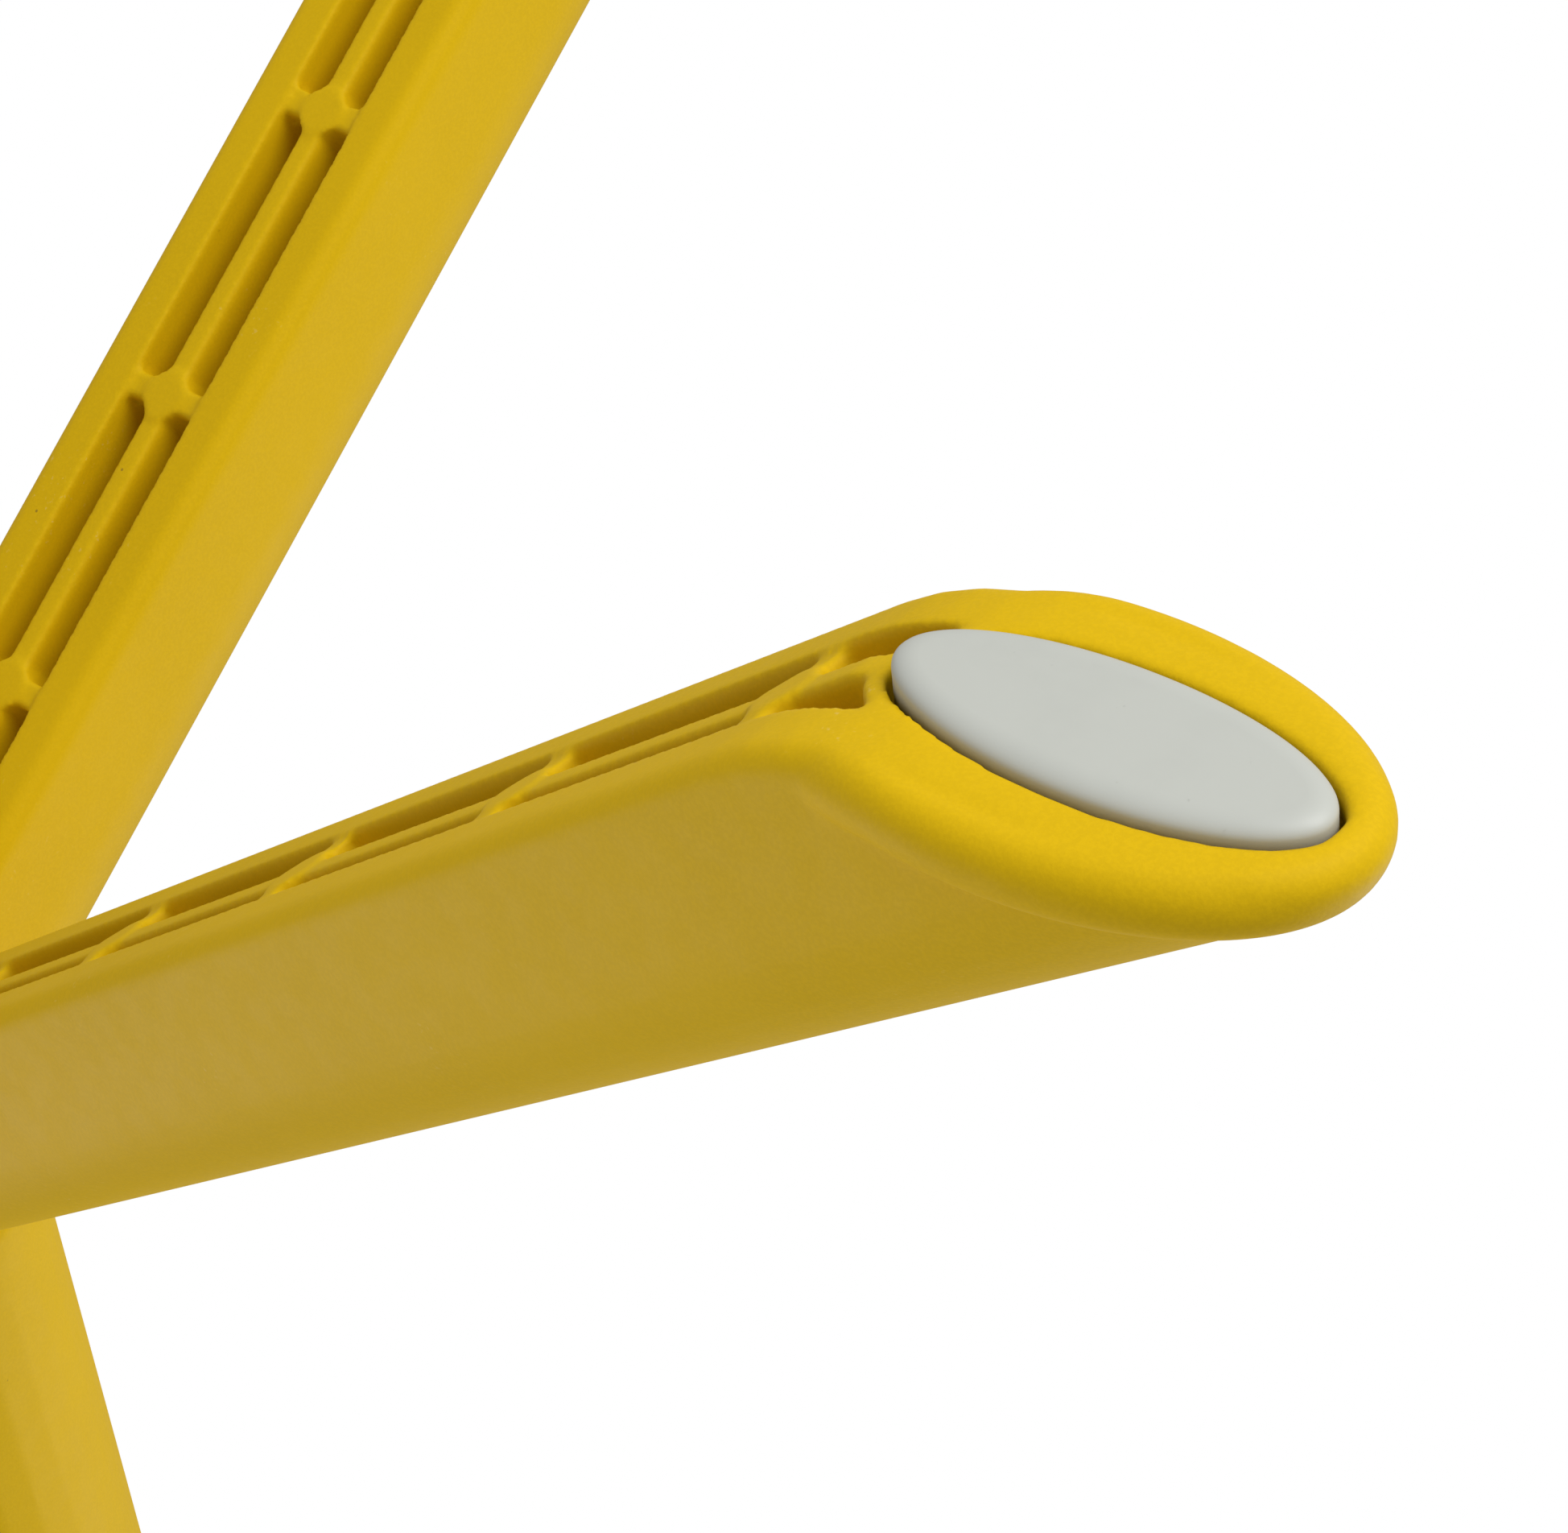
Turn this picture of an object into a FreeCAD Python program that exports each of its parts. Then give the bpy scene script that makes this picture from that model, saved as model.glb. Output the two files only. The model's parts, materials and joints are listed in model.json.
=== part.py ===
import FreeCAD, Part
import math
import os
from FreeCAD import Vector

# Belt post of a crowd control barrier: a moulded four-legged base with a tall
# neck, a tube that stands in the neck, and a head that winds the barrier belt.
# Origin: floor level under the axis of the post. +Z up, +X along the first leg
# and out of the belt slot. Sizes are in millimetres and degrees.

SIZES = [
    # base moulding
    ("leg_slope", 36.3, "angle of a leg to the floor"),
    ("foot_reach", 249.8, "axis to the line where a leg's underside meets the floor"),
    ("leg_width", 35.5, "width of a leg"),
    ("leg_depth", 37.4, "height of a leg's section, square to the leg"),
    ("lip_radius", 3.3, "rounding of a leg's lower edges"),
    ("bend_radius", 45.0, "bend from a leg's underside into the foot"),
    ("channel_width", 16.5, "clear width of the channel under a leg"),
    ("channel_roof", 6.5, "thickness of plastic above the channel"),
    ("rib_thickness", 4.6, "thickness of the ribs in the channel"),
    ("rib_recess", 0.8, "ribs below the lips of the channel"),
    ("rib_pitch", 55.0, "distance between cross ribs"),
    ("first_rib", 20.5, "first cross rib, measured up the leg"),
    ("node_radius", 4.6, "round node where the ribs cross"),
    ("hub_block", 34.0, "axis to the inner end of a channel"),
    ("neck_radius", 33.0, "neck where it leaves the legs"),
    ("neck_top_radius", 31.8, "neck at its mouth"),
    ("neck_height", 330.0, "top of the neck"),
    ("socket_floor", 216.0, "bottom of the socket in the neck"),
    ("bolt_seat", 202.0, "face that the hub washer bears on"),
    ("bolt_well_radius", 13.0, "well under the hub for the bolt head"),
    # foot pads
    ("pad_centre", 275.9, "axis to the middle of a foot pad"),
    ("pad_long", 25.3, "half length of a foot pad"),
    ("pad_short", 9.9, "half width of a foot pad"),
    ("pad_proud", 1.3, "pad below the underside of the foot"),
    ("pocket_depth", 5.0, "depth of the pad's pocket"),
    ("pocket_gap", 0.7, "gap round the pad in its pocket"),
    ("pocket_wall", 2.6, "wall round the pocket at the channel's end"),
    ("pad_edge", 3.0, "rounding of the pad's lower edge"),
    ("pad_stem_radius", 3.0, "stem that holds a pad in its foot"),
    ("pad_stem_length", 6.0, "length of that stem"),
    # post
    ("tube_radius", 28.0, "outside of the post tube"),
    ("tube_wall", 2.5, "wall of the post tube"),
    ("tube_top", 880.0, "top of the post tube"),
    ("slide_fit", 0.05, "radial clearance of a push fit"),
    ("collar_height", 7.0, "height of the seal at the neck's mouth"),
    ("plug_length", 40.0, "length of the tube's end plugs"),
    ("bolt_radius", 5.0, "hub bolt"),
    ("bolt_length", 42.0, "hub bolt under its head"),
    ("washer_thickness", 2.0, "hub washer"),
    ("washer_radius", 11.5, "hub washer"),
    # head
    ("head_radius", 42.0, "outside of the head"),
    ("head_wall", 3.0, "wall of the head"),
    ("head_height", 98.0, "height of the head shell"),
    ("head_floor", 4.0, "floor of the head shell"),
    ("cap_height", 12.0, "height of the cap"),
    ("plate_thickness", 2.0, "plates of the belt cassette"),
    ("cassette_height", 76.0, "distance between the plates"),
    ("spindle_radius", 4.0, "fixed spindle of the spool"),
    ("spool_radius", 9.0, "barrel of the spool"),
    ("flange_radius", 27.0, "flanges of the spool"),
    ("flange_thickness", 1.2, "flanges of the spool"),
    ("belt_width", 48.0, "width of the belt"),
    ("belt_thickness", 0.6, "thickness of the belt"),
    ("roll_radius", 23.0, "belt wound on the spool"),
    ("belt_gap", 0.6, "clearance beside the wound belt"),
    ("run_gap", 0.3, "clearance of the belt's run beside the wound belt"),
    ("guide_radius", 3.0, "fixed guide posts at the slot"),
    ("slot_width", 8.0, "width of the belt slot"),
    ("slot_height", 54.0, "height of the belt slot"),
    ("bezel_depth", 2.0, "trim round the belt slot, proud of the head"),
    ("receiver_width", 22.0, "width of a belt receiver"),
    ("receiver_depth", 12.0, "receiver, proud of the head"),
    ("receiver_height", 60.0, "height of a belt receiver"),
    ("tee_width", 13.0, "width of the belt end's cross bar"),
    ("tee_depth", 4.0, "depth of the belt end's cross bar"),
    ("web_width", 6.0, "belt end's web, which passes the receiver's mouth"),
    ("tee_clearance", 0.75, "clearance of the belt end in a receiver"),
    ("screw_radius", 1.5, "small screws"),
    ("seat_gap", 0.1, "gap of a piece that lies against the head's round side"),
]

doc = FreeCAD.newDocument("belt_post")
sheet = doc.addObject("Spreadsheet::Sheet", "dims")
for row, (alias, value, note) in enumerate(SIZES, start=1):
    sheet.set("A%d" % row, str(value))
    sheet.setAlias("A%d" % row, alias)
    sheet.set("B%d" % row, note)
doc.recompute()


def size(alias):
    """A driving dimension as a number."""
    return float(sheet.get(alias))


def bound(text):
    """Turns the words of an expression that name sizes into cells of the sheet."""
    for alias in sorted((entry[0] for entry in SIZES), key=len, reverse=True):
        text = text.replace("<%s>" % alias, "dims.%s" % alias)
    return text


NODES = []


def node(thing, label):
    """Marks an object as one separate piece; its label names its file."""
    thing.Label = label
    NODES.append(thing)
    return thing


def place(thing, at=("0", "0", "0"), axis="0;0;1", angle="0"):
    spot = "; ".join("(%s)" % bound(value) for value in at)
    turn = "rotation(vector(%s); %s)" % (axis, bound(angle))
    thing.setExpression("Placement", "placement(vector(%s); %s)" % (spot, turn))
    return thing


def primitive(kind, name, at=("0", "0", "0"), axis="0;0;1", angle="0", **sizes):
    """A Part primitive whose sizes and place follow the sheet."""
    thing = doc.addObject("Part::" + kind, name)
    for prop, value in sizes.items():
        thing.setExpression(prop, bound(value))
    return place(thing, at, axis, angle)


def cylinder(name, radius, height, at=("0", "0", "0"), axis="0;0;1", angle="0"):
    return primitive("Cylinder", name, at, axis, angle, Radius=radius, Height=height)


def box(name, length, width, height, at=("0", "0", "0"), axis="0;0;1", angle="0"):
    return primitive("Box", name, at, axis, angle, Length=length, Width=width, Height=height)


def cut(name, base, tool):
    thing = doc.addObject("Part::Cut", name)
    thing.Base = base
    thing.Tool = tool
    return thing


def fuse(name, things):
    thing = doc.addObject("Part::MultiFuse", name)
    thing.Shapes = things
    return thing


def common(name, things):
    thing = doc.addObject("Part::MultiCommon", name)
    thing.Shapes = things
    return thing


def compound(name, things):
    thing = doc.addObject("Part::Compound", name)
    thing.Links = things
    return thing


def turned_copies(name, source, count, start="0"):
    """Links to one object, turned about the post's axis in equal steps."""
    copies = []
    for index in range(count):
        copy = doc.addObject("App::Link", "%s_%d" % (name, index + 1))
        copy.LinkedObject = source
        copy.LinkTransform = True
        place(copy, angle="%s + %s" % (start, 360.0 * index / count))
        copies.append(copy)
    return copies


def plane_of(body, role):
    return [feature for feature in body.Origin.OriginFeatures if feature.Role == role][0]


def outline(sketch, points):
    """A closed outline of straight lines whose corners follow the sheet."""
    doc.recompute()
    spots = [(value_of(x), value_of(z)) for x, z in points]
    count = len(points)
    for index in range(count):
        start = Vector(spots[index][0], spots[index][1], 0)
        end = Vector(spots[(index + 1) % count][0], spots[(index + 1) % count][1], 0)
        sketch.addGeometry(Part.LineSegment(start, end), False)
    import Sketcher
    for index in range(count):
        follower = (index + 1) % count
        sketch.addConstraint(Sketcher.Constraint("Coincident", index, 2, follower, 1))
    for index, (x, z) in enumerate(points):
        for direction, text, number in (("DistanceX", x, spots[index][0]),
                                        ("DistanceY", z, spots[index][1])):
            if text == "0":
                axis = -2 if direction == "DistanceX" else -1
                sketch.addConstraint(Sketcher.Constraint("PointOnObject", index, 1, axis))
                continue
            rule = sketch.addConstraint(Sketcher.Constraint(direction, -1, 1, index, 1, number))
            sketch.setExpression("Constraints[%d]" % rule, bound(text))


def value_of(text):
    """The present value of an expression in the sheet's sizes."""
    probe = doc.getObject("probe") or doc.addObject("App::FeaturePython", "probe")
    if "Number" not in probe.PropertiesList:
        probe.addProperty("App::PropertyFloat", "Number")
    probe.setExpression("Number", bound(text))
    doc.recompute([probe])
    return probe.Number


def turned(name, points):
    """A piece turned about the post's axis; points are (radius, height) expressions."""
    body = doc.addObject("PartDesign::Body", name)
    sketch = body.newObject("Sketcher::SketchObject", name + "_section")
    sketch.AttachmentSupport = [(plane_of(body, "XZ_Plane"), "")]
    sketch.MapMode = "FlatFace"
    outline(sketch, points)
    lathe = body.newObject("PartDesign::Revolution", name + "_turned")
    lathe.Profile = sketch
    lathe.ReferenceAxis = (sketch, ["V_Axis"])
    lathe.Angle = 360
    return body


def ring(name, outer, inner, low, high):
    return turned(name, [(inner, low), (outer, low), (outer, high), (inner, high)])


# ---------------------------------------------------------------- base moulding
# A leg is drawn in its own frame: x down the leg towards the foot, y across it,
# z from the underside into the leg. The frame's origin is where the underside
# meets the sole of the foot, and in_leg carries an object from it to the first leg.


def in_leg(thing, along="0", across="0", depth="0"):
    """Places an object that was drawn in the leg's frame."""
    leg = "placement(vector(<foot_reach>; 0; <pad_proud>); rotation(vector(0;1;0); <leg_slope>))"
    local = "placement(vector(%s; %s; %s); rotation(vector(0;1;0); 0))" % (along, across, depth)
    thing.setExpression("Placement", bound(leg + " * " + local))
    return thing


def leg_side():
    """Side outline of a leg: underside, bend, sole and a generous back."""
    slope = math.radians(size("leg_slope"))
    bend = size("bend_radius")
    reach = bend * math.tan(slope / 2)
    far = size("leg_depth") / math.sin(slope) + 3 * size("lip_radius")
    run = size("foot_reach") / math.cos(slope)
    back = size("leg_depth") + far
    underside = Vector(-reach, 0, 0)
    middle = Vector(-reach + bend * math.sin(slope / 2), 0, bend - bend * math.cos(slope / 2))
    sole = Vector(reach * math.cos(slope), 0, reach * math.sin(slope))
    toe = Vector(far * math.cos(slope), 0, far * math.sin(slope))
    corners = [toe, Vector(toe.x, 0, back), Vector(-run, 0, back), Vector(-run, 0, 0), underside]
    edges = [Part.Arc(underside, middle, sole).toShape(), Part.LineSegment(sole, toe).toShape()]
    for start, end in zip(corners, corners[1:]):
        edges.append(Part.LineSegment(start, end).toShape())
    half = size("leg_width")
    face = Part.Face(Part.Wire(edges))
    face.translate(Vector(0, -half, 0))
    return face.extrude(Vector(0, 2 * half, 0))


def half_round_bar(width, depth, start, end, low):
    """A bar along the leg with straight sides and a half-round back."""
    half = width / 2
    right_low = Vector(start, half, low)
    right = Vector(start, half, depth - half)
    back = Vector(start, 0, depth)
    left = Vector(start, -half, depth - half)
    left_low = Vector(start, -half, low)
    edges = [
        Part.LineSegment(right_low, right).toShape(),
        Part.Arc(right, back, left).toShape(),
        Part.LineSegment(left, left_low).toShape(),
        Part.LineSegment(left_low, right_low).toShape(),
    ]
    return Part.Face(Part.Wire(edges)).extrude(Vector(end - start, 0, 0))


def rounded_rim(shape):
    """Rounds the lips, the bend and the toe in one run."""
    width = size("leg_width")
    rim = []
    for edge in shape.Edges:
        low = min(vertex.Z for vertex in edge.Vertexes)
        centre = edge.CenterOfMass
        side = abs(abs(centre.y) - width / 2) < 0.01
        straight = edge.Curve.TypeId == "Part::GeomLine"
        lip = side and straight and abs(centre.z) < 0.01
        bend = side and edge.Curve.TypeId == "Part::GeomCircle"
        sole = side and straight and centre.x > 0 and centre.z > 1 and low < centre.z - 0.5
        toe = edge.Curve.TypeId == "Part::GeomEllipse"
        if lip or bend or sole or toe:
            rim.append(edge)
    return shape.makeFillet(size("lip_radius"), rim)


def shaped(name, shape):
    """A shape worked out in the leg's frame, carried to the first leg."""
    thing = doc.addObject("Part::Feature", name)
    thing.Shape = shape
    return in_leg(thing)


def oval(name, long, short, low, height):
    """An upright oval block at a foot pad's place."""
    edge = primitive("Ellipse", name + "_edge", ("<pad_centre>", "0", low),
                     MajorRadius=long, MinorRadius=short)
    block = doc.addObject("Part::Extrusion", name)
    block.Base = edge
    block.DirMode = "Custom"
    block.Dir = Vector(0, 0, 1)
    block.setExpression("LengthFwd", bound(height))
    block.Solid = True
    return block


slope = math.radians(size("leg_slope"))
leg_run = size("foot_reach") / math.cos(slope)
past_toe = size("leg_depth") / math.tan(slope) + 2 * size("leg_depth")
below = -2 * size("lip_radius")

leg_bar = half_round_bar(size("leg_width"), size("leg_depth"), -leg_run, past_toe, below)
leg = shaped("leg_form", rounded_rim(leg_bar.common(leg_side())))

neck = turned("neck_form", [
    ("0", "<bolt_seat> - 24"),
    ("<neck_radius> * 0.6", "<bolt_seat> - 24"),
    ("<neck_radius>", "<socket_floor>"),
    ("<neck_top_radius>", "<neck_height>"),
    ("0", "<neck_height>"),
])
solid_base = fuse("base_solid", turned_copies("leg", leg, 4) + [neck])

channel_depth = size("leg_depth") - size("channel_roof")
channel_bar = half_round_bar(size("channel_width"), channel_depth, -leg_run, past_toe, below * 3)
channel = shaped("channel_form", channel_bar)
rib_height = "<leg_depth>"
ribs = [in_leg(box("centre_rib", "<foot_reach> * 1.5", "<rib_thickness>", rib_height),
               "-<foot_reach> * 1.3", "-<rib_thickness> / 2", "<rib_recess>")]
rib_count = int((leg_run - size("hub_block") - size("first_rib")) / size("rib_pitch")) + 1
for index in range(rib_count):
    up_leg = "<first_rib> + %d * <rib_pitch>" % index
    wall = box("cross_rib_%d" % (index + 1), "<rib_thickness>", "<channel_width> * 1.2", rib_height)
    ribs.append(in_leg(wall, "-(%s) - <rib_thickness> / 2" % up_leg,
                       "-<channel_width> * 0.6", "<rib_recess>"))
    core = cylinder("rib_node_%d" % (index + 1), "<node_radius>", rib_height)
    ribs.append(in_leg(core, "-(%s)" % up_leg, "0", "<rib_recess> * 0.5"))
reach_in = "<pocket_gap> + <pocket_wall>"
ribs.append(oval("pocket_ring", "<pad_long> + " + reach_in, "<pad_short> + " + reach_in,
                 "-<leg_depth>", "<leg_depth> * 3"))
ribs.append(box("toe_block", "<foot_reach>", "<leg_width>", "<leg_depth> * 3",
                ("<pad_centre>", "-<leg_width> / 2", "-<leg_depth>")))
ribs.append(cylinder("hub_core", "<hub_block>", "<neck_height>"))
channel_cutter = cut("channel_cutter", channel, fuse("rib_set", ribs))
pocket = oval("pad_pocket", "<pad_long> + <pocket_gap>", "<pad_short> + <pocket_gap>",
              "<pad_proud> - <leg_depth>", "<leg_depth> + <pocket_depth>")
stem_hole = cylinder("pad_stem_hole", "<pad_stem_radius>", "<pad_stem_length>",
                     ("<pad_centre>", "0", "<pad_proud> + <pocket_depth>"))
leg_cutter = compound("leg_cutter", [channel_cutter, pocket, stem_hole])
socket = cylinder("neck_socket", "<tube_radius> + <slide_fit>", "<neck_height>",
                  ("0", "0", "<socket_floor>"))
bolt_well = cylinder("bolt_well", "<bolt_well_radius>", "<bolt_seat>")
bolt_hole = cylinder("hub_bolt_hole", "<bolt_radius> + <slide_fit>", "<neck_height>")
cutters = turned_copies("leg_cut", leg_cutter, 4) + [socket, bolt_well, bolt_hole]
node(cut("base", solid_base, compound("base_cutter", cutters)), "base_moulding")

# ------------------------------------------------------------------- foot pads
pad_body = oval("pad_block", "<pad_long>", "<pad_short>", "0", "<pad_proud> + <pocket_depth>")
doc.recompute()
pad_round = doc.addObject("Part::Fillet", "pad_round")
pad_round.Base = pad_body
lowest = [index + 1 for index, edge in enumerate(pad_body.Shape.Edges)
          if edge.BoundBox.ZMax < 0.01]
pad_round.Edges = [(index, size("pad_edge"), size("pad_edge")) for index in lowest]
stem = cylinder("pad_stem", "<pad_stem_radius> - <slide_fit>", "<pad_stem_length> + 1",
                ("<pad_centre>", "0", "<pad_proud> + <pocket_depth> - 1"))
pad = fuse("pad_form", [pad_round, stem])
for index, copy in enumerate(turned_copies("pad", pad, 4), start=1):
    node(copy, "foot_pad_%d" % index)

# ------------------------------------------------------------------------ post
node(ring("tube", "<tube_radius>", "<tube_radius> - <tube_wall>", "<socket_floor>", "<tube_top>"),
     "post_tube")
bore = "<tube_radius> - <tube_wall> - <slide_fit>"
node(turned("low_plug", [
    ("<bolt_radius>", "<socket_floor>"),
    (bore, "<socket_floor>"),
    (bore, "<socket_floor> + <plug_length>"),
    (bore + " - 4", "<socket_floor> + <plug_length>"),
    (bore + " - 4", "<socket_floor> + 12"),
    ("<bolt_radius> + 5", "<socket_floor> + 12"),
    ("<bolt_radius> + 5", "<socket_floor> + 30"),
    ("<bolt_radius>", "<socket_floor> + 30"),
]), "tube_lower_plug")
bolt_head = doc.addObject("Part::Prism", "bolt_head")
bolt_head.Polygon = 6
bolt_head.setExpression("Circumradius", bound("<bolt_radius> * 1.8"))
bolt_head.setExpression("Height", bound("<bolt_radius> * 1.3"))
place(bolt_head, ("0", "0", "<bolt_seat> - <washer_thickness> - <bolt_radius> * 1.3"))
shank = cylinder("bolt_shank", "<bolt_radius> - <slide_fit>", "<bolt_length>",
                 ("0", "0", "<bolt_seat> - <washer_thickness>"))
node(fuse("bolt", [bolt_head, shank]), "hub_bolt")
node(ring("washer", "<washer_radius>", "<bolt_radius>", "<bolt_seat> - <washer_thickness>",
          "<bolt_seat>"), "hub_washer")
node(turned("collar", [
    ("<tube_radius> + <slide_fit>", "<neck_height>"),
    ("<neck_top_radius> - 0.4", "<neck_height>"),
    ("<neck_top_radius> - 0.4", "<neck_height> + <collar_height> * 0.6"),
    ("<tube_radius> + 1.2", "<neck_height> + <collar_height>"),
    ("<tube_radius> + <slide_fit>", "<neck_height> + <collar_height>"),
]), "neck_collar")
head_base = "<tube_top> + 5"
adaptor = turned("top_plug", [
    ("6", "<tube_top> - 18"),
    (bore + " - 5", "<tube_top> - 18"),
    (bore + " - 5", "<tube_top> - <plug_length>"),
    (bore, "<tube_top> - <plug_length>"),
    (bore, "<tube_top>"),
    ("<head_radius> - 6", "<tube_top>"),
    ("<head_radius> - 3", head_base),
    ("6", head_base),
])

# ------------------------------------------------------------------------ head
shell_bore = "<head_radius> - <head_wall>"
cassette_floor = head_base + " + <head_floor>"
plate_top = cassette_floor + " + <plate_thickness>"
plate_under = plate_top + " + <cassette_height>"
head_top = head_base + " + <head_height>"
belt_low = plate_top + " + 6"
belt_mid = belt_low + " + <belt_width> / 2"
shell = turned("shell_form", [
    ("6", head_base),
    ("<head_radius> - 2", head_base),
    ("<head_radius>", head_base + " + 2"),
    ("<head_radius>", head_top),
    (shell_bore, head_top),
    (shell_bore, cassette_floor),
    ("6", cassette_floor),
])
slot = box("belt_slot", "<head_radius>", "<slot_width>", "<slot_height>",
           ("<head_radius> / 2", "-<slot_width> / 2", belt_mid + " - <slot_height> / 2"))
SCREW_RING = "16"
head_screw_holes = []
head_screws = []
for index in range(3):
    turn = 60 + 120 * index
    spot = ("%s * cos(%d)" % (SCREW_RING, turn), "%s * sin(%d)" % (SCREW_RING, turn))
    head_screw_holes.append(cylinder("head_screw_hole_%d" % (index + 1),
                                     "<screw_radius> + <slide_fit>", "<plug_length>",
                                     spot + (plate_top + " - 26",)))
    screw_head = cylinder("head_screw_head_%d" % (index + 1), "<screw_radius> * 2", "2",
                          spot + (plate_top,))
    screw_shank = cylinder("head_screw_shank_%d" % (index + 1), "<screw_radius>", "22",
                           spot + (plate_top + " - 21.5",))
    head_screws.append(fuse("head_screw_%d" % (index + 1), [screw_head, screw_shank]))
screw_holes = compound("head_screw_holes", head_screw_holes)
RECEIVER_TURNS = (90, 180, 270)
receiver_screw_holes = []
receiver_screws = []
for turn in RECEIVER_TURNS:
    for level in ("-18", "18"):
        tag = "%d_%s" % (turn, "low" if level[0] == "-" else "high")
        start = "%s - 2" % shell_bore
        for name, radius, reach, length, group in (
                ("hole", "<screw_radius> + <slide_fit>", start, "10", receiver_screw_holes),
                ("shank", "<screw_radius>", start, "8", receiver_screws),
                ("head", "<screw_radius> * 1.8", start, "1.9", receiver_screws)):
            pin = cylinder("receiver_%s_%s" % (name, tag), radius, length,
                           ("(%s) * cos(%d)" % (reach, turn), "(%s) * sin(%d)" % (reach, turn),
                            belt_mid + " + " + level),
                           axis="%d;%d;0" % (round(-math.sin(math.radians(turn))),
                                             round(math.cos(math.radians(turn)))), angle="90")
            group.append(pin)
node(cut("adaptor", adaptor, screw_holes), "head_adaptor")
drilled = compound("shell_cutter", [slot, screw_holes] + receiver_screw_holes)
node(cut("shell", shell, drilled), "head_shell")
node(compound("head_screw_set", head_screws), "head_screws")
pairs = [fuse("receiver_screw_%d" % (index // 2 + 1), receiver_screws[index:index + 2])
         for index in range(0, len(receiver_screws), 2)]
node(compound("receiver_screw_set", pairs), "receiver_screws")
cap_low = head_top
node(turned("cap", [
    ("0", cap_low + " - 5"),
    (shell_bore + " - 0.1", cap_low + " - 5"),
    (shell_bore + " - 0.1", cap_low),
    ("<head_radius>", cap_low),
    ("<head_radius>", cap_low + " + <cap_height> * 0.35"),
    ("<head_radius> - 3", cap_low + " + <cap_height> * 0.7"),
    ("<head_radius> - 10", cap_low + " + <cap_height> * 0.92"),
    ("0", cap_low + " + <cap_height>"),
]), "head_cap")

# --------------------------------------------------------------- belt cassette
plate_radius = shell_bore + " - 0.4"
guide_across = "<guide_radius> + <belt_thickness> / 2 + <slide_fit>"
guide_out = shell_bore + " - <guide_radius> - 1.5"
for name, low in (("low", cassette_floor), ("high", plate_under)):
    plate = cylinder("plate_%s" % name, plate_radius, "<plate_thickness>", ("0", "0", low))
    bores = [cylinder("plate_%s_bore" % name, "<spindle_radius> + <slide_fit>",
                      "<plate_thickness>", ("0", "0", low))]
    if name == "low":
        bores.append(screw_holes)
    label = "cassette_lower_plate" if name == "low" else "cassette_upper_plate"
    node(cut("cassette_plate_%s" % name, plate, compound("plate_%s_bores" % name, bores)), label)
posts = []
for index in range(4):
    turn = 45 + 90 * index
    posts.append(cylinder("standoff_%d" % (index + 1), "2.5", "<cassette_height>",
                          ("(%s - 3.5) * cos(%d)" % (plate_radius, turn),
                           "(%s - 3.5) * sin(%d)" % (plate_radius, turn), plate_top)))
node(compound("standoffs", posts), "cassette_standoffs")
node(turned("spindle", [
    ("0", cassette_floor),
    ("<spindle_radius>", cassette_floor),
    ("<spindle_radius>", plate_under + " + <plate_thickness> + 4"),
    ("0", plate_under + " + <plate_thickness> + 4"),
]), "spool_spindle")
node(ring("spindle_clip", "<spindle_radius> + 3", "<spindle_radius>",
          plate_under + " + <plate_thickness>", plate_under + " + <plate_thickness> + 1.2"),
     "spindle_clip")
bush = "<spindle_radius> + <slide_fit>"
spool_bore = "<spindle_radius> + 2"
spool_low = belt_low + " - <flange_thickness> - <belt_gap>"
spool_high = belt_low + " + <belt_width> + <belt_gap> + <flange_thickness>"
node(ring("thrust_collar", "<spindle_radius> + 4", "<spindle_radius>", plate_top,
          spool_low + " - <seat_gap>"), "spool_thrust_collar")
node(ring("bush_low", spool_bore, bush, spool_low, spool_low + " + 8"), "spool_lower_bush")
node(ring("bush_high", spool_bore, bush, spool_high + " - 8", spool_high), "spool_upper_bush")
node(turned("spool", [
    (spool_bore, spool_low),
    ("<flange_radius>", spool_low),
    ("<flange_radius>", spool_low + " + <flange_thickness>"),
    ("<spool_radius>", spool_low + " + <flange_thickness>"),
    ("<spool_radius>", spool_high + " - <flange_thickness>"),
    ("<flange_radius>", spool_high + " - <flange_thickness>"),
    ("<flange_radius>", spool_high),
    (spool_bore, spool_high),
]), "belt_spool")
node(ring("roll", "<roll_radius>", "<spool_radius>", belt_low, belt_low + " + <belt_width>"),
     "belt_roll")
spring_low = spool_high + " + 1"
cup_high = plate_under
node(turned("spring_cup", [
    ("<flange_radius> - 1.5", spring_low),
    ("<flange_radius>", spring_low),
    ("<flange_radius>", cup_high),
    ("<spindle_radius> + 3", cup_high),
    ("<spindle_radius> + 3", cup_high + " - 1.5"),
    ("<flange_radius> - 1.5", cup_high + " - 1.5"),
]), "spring_cup")
node(ring("spring", "<flange_radius> - 2", "<spindle_radius> + 4", spring_low + " + 1",
          cup_high + " - 2.5"), "power_spring")
node(ring("arbor", "<spindle_radius> + 4", "<spindle_radius>", spring_low + " + 1",
          cup_high + " - 2.5"), "spring_arbor")
guides = []
for name, across in (("inner", "-(%s)" % guide_across), ("outer", guide_across)):
    guides.append(cylinder("guide_post_%s" % name, "<guide_radius>", "<cassette_height>",
                           (guide_out, across, plate_top)))
node(compound("guide_posts", guides), "belt_guide_posts")


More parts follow.
